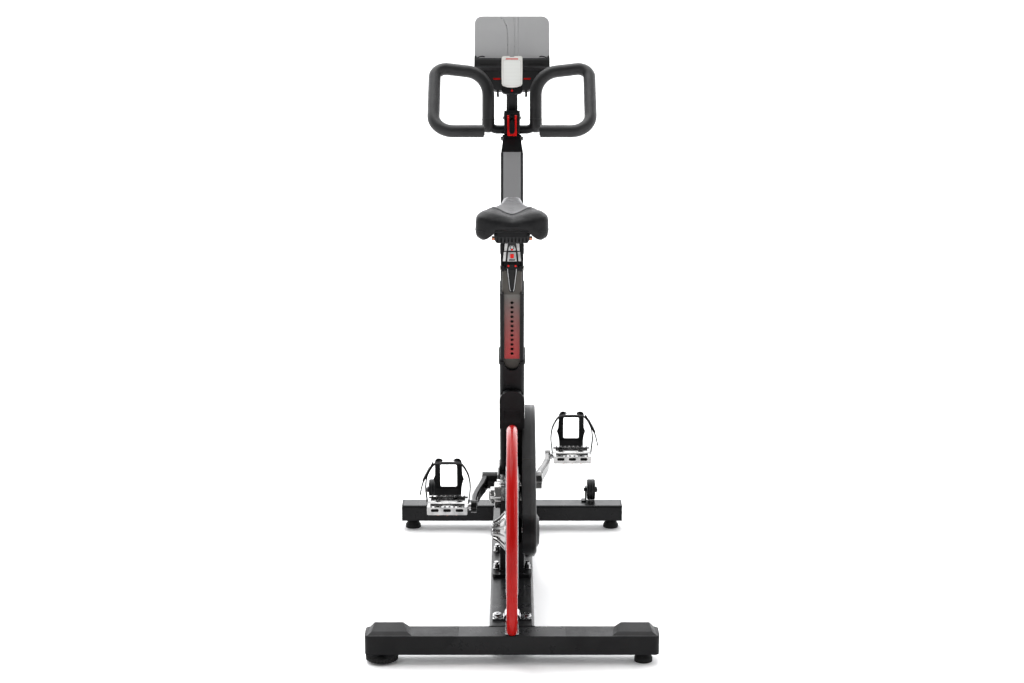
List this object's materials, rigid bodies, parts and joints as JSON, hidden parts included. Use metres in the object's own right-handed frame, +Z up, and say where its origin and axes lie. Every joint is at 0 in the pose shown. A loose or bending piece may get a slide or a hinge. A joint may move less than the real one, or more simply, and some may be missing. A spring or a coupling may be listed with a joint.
{
  "type": "exercise bike",
  "caption": "Indoor exercise bike with a rear flywheel under a bent guard tube, belt drive, caged pedals, adjustable saddle and looped handlebar with a tablet plate.",
  "frame": {"origin": "on the floor, at the middle of the bike's footprint", "axes": "+X to the rider's right, +Y forward from saddle to handlebar, +Z up"},
  "size_m": [0.66, 1.0979, 1.3768],
  "materials": {
    "black_paint": "satin powder coat",
    "grey_paint": "satin powder coat",
    "red_paint": "gloss paint",
    "bright_steel": "polished",
    "zinc_steel": "satin zinc",
    "cast_wheel": "machined and painted",
    "cast_alloy": "polished casting",
    "crank_metal": "satin",
    "black_plastic": "fine moulded texture",
    "grey_plastic": "fine moulded texture",
    "gloss_cover": "gloss",
    "silver_plastic": "silver paint",
    "red_plastic": "gloss",
    "lcd_glass": "matt lens",
    "clear_plate": "smoked translucent",
    "rubber": "moulded",
    "foam": "closed-cell foam",
    "belt_rubber": "ribbed",
    "webbing": "woven",
    "saddle_cover": "embossed synthetic leather",
    "scale_print": "printed strip"
  },
  "bodies": {
    "frame": {"base_beam": "black_paint", "front_bar": "black_paint", "front_bar_end_caps": "black_plastic", "rear_bar": "black_paint", "rear_bar_covers": "black_plastic", "levelling_feet": "rubber", "roller_brackets": "black_paint", "frame_foot": "black_paint", "frame_column": "black_paint", "seat_tube": "black_paint", "seat_guide_channel": "black_paint", "front_tube": "grey_paint", "tube_collars": "black_plastic", "frame_fasteners": "bright_steel", "flywheel_arm": "black_paint", "bearings": "zinc_steel", "flywheel_guard": "red_paint", "guard_bracket": "bright_steel", "belt_cover_inner": "black_plastic", "belt_cover_outer": "gloss_cover", "drive_belt": "belt_rubber", "idler_arm": "zinc_steel", "magnet_mount": "black_paint"},
    "crank": {"crank_spindle": "zinc_steel", "crank_pulley": "cast_alloy", "crank_arm_right": "crank_metal", "crank_arm_left": "crank_metal", "pedal_axles": "zinc_steel"},
    "pedal_right": {"pedal_body_right": "cast_alloy", "toe_cage_right": "black_plastic", "toe_strap_right": "webbing"},
    "pedal_left": {"pedal_body_left": "cast_alloy", "toe_cage_left": "black_plastic", "toe_strap_left": "webbing"},
    "flywheel": {"flywheel": "cast_wheel", "flywheel_hub": "cast_alloy", "flywheel_pulley": "zinc_steel"},
    "idler": {"idler_pulley": "black_plastic"},
    "magnet_arm": {"magnet_caliper": "cast_alloy", "brake_magnets": "bright_steel"},
    "seat_post": {"seat_post": "grey_paint", "seat_scale": "scale_print", "seat_head": "black_plastic"},
    "seat_paddle": {"seat_paddle": "black_plastic"},
    "seat_lever": {"seat_lever": "black_plastic"},
    "saddle": {"saddle_carriage": "grey_plastic", "saddle_base": "black_plastic", "saddle_pad": "saddle_cover"},
    "handlebar": {"handlebar_post": "black_paint", "handlebar": "black_paint", "handlebar_grips": "foam", "display_housing": "black_plastic", "display_bezel": "silver_plastic", "tablet_plate": "clear_plate", "tablet_holder": "grey_plastic"},
    "handlebar_lever": {"handlebar_lever": "red_plastic"},
    "display_button": {"display_button": "red_plastic"},
    "roller_right": {"transport_roller_right": "black_plastic"},
    "roller_left": {"transport_roller_left": "black_plastic"},
    "levelling_adjuster": {"levelling_adjuster": "rubber"}
  },
  "joints": [
    {"name": "crank_spin", "type": "hinge", "parent": "frame", "child": "crank", "pos_m": [0, 0.022, 0.282], "axis": [1, 0, 0], "continuous": true},
    {"name": "pedal_right_spin", "type": "hinge", "parent": "crank", "child": "pedal_right", "pos_m": [0, 0.19165, 0.29297], "axis": [1, 0, 0], "continuous": true},
    {"name": "pedal_left_spin", "type": "hinge", "parent": "crank", "child": "pedal_left", "pos_m": [0, -0.14765, 0.27103], "axis": [1, 0, 0], "continuous": true},
    {"name": "flywheel_spin", "type": "hinge", "parent": "frame", "child": "flywheel", "pos_m": [0, -0.296, 0.262], "axis": [1, 0, 0], "continuous": true},
    {"name": "idler_spin", "type": "hinge", "parent": "frame", "child": "idler", "pos_m": [0, -0.24916, 0.20665], "axis": [1, 0, 0], "continuous": true},
    {"name": "magnet_arm_swing", "type": "hinge", "parent": "frame", "child": "magnet_arm", "pos_m": [0, -0.092, 0.306], "axis": [-1, 0, 0], "range_deg": [0, 10]},
    {"name": "seat_post_slide", "type": "slide", "parent": "frame", "child": "seat_post", "axis": [0, -0.342, 0.9397], "range_m": [-0.055, 0.12]},
    {"name": "seat_paddle_swing", "type": "hinge", "parent": "frame", "child": "seat_paddle", "pos_m": [0, -0.11478, 0.53853], "axis": [-1, 0, 0], "range_deg": [0, 10], "stiffness_Nm_per_rad": 1.2},
    {"name": "seat_lever_swing", "type": "hinge", "parent": "seat_post", "child": "seat_lever", "pos_m": [0, -0.254, 0.866], "axis": [-1, 0, 0], "range_deg": [0, 95]},
    {"name": "saddle_slide", "type": "slide", "parent": "seat_post", "child": "saddle", "axis": [0, 1, 0], "range_m": [-0.04, 0.05]},
    {"name": "handlebar_slide", "type": "slide", "parent": "frame", "child": "handlebar", "axis": [0, 0.3746, 0.9272], "range_m": [0, 0.12]},
    {"name": "handlebar_lever_swing", "type": "hinge", "parent": "handlebar", "child": "handlebar_lever", "pos_m": [0, 0.33026, 1.13761], "axis": [-1, 0, 0], "range_deg": [0, 100]},
    {"name": "display_button_press", "type": "slide", "parent": "handlebar", "child": "display_button", "axis": [0, 0.9397, -0.342], "range_m": [0, 0.001], "stiffness_N_per_m": 400},
    {"name": "roller_right_spin", "type": "hinge", "parent": "frame", "child": "roller_right", "pos_m": [0.216, 0.521, 0.098], "axis": [1, 0, 0], "continuous": true},
    {"name": "roller_left_spin", "type": "hinge", "parent": "frame", "child": "roller_left", "pos_m": [-0.216, 0.521, 0.098], "axis": [1, 0, 0], "continuous": true},
    {"name": "levelling_adjuster_turn", "type": "hinge", "parent": "frame", "child": "levelling_adjuster", "pos_m": [-0.293, -0.428, 0.012], "axis": [0, 0, 1], "range_deg": [-180, 180]}
  ],
  "couplings": [
    {"joint": "flywheel_spin", "follows": "crank_spin", "ratio": 6},
    {"joint": "idler_spin", "follows": "crank_spin", "ratio": -14.4}
  ]
}
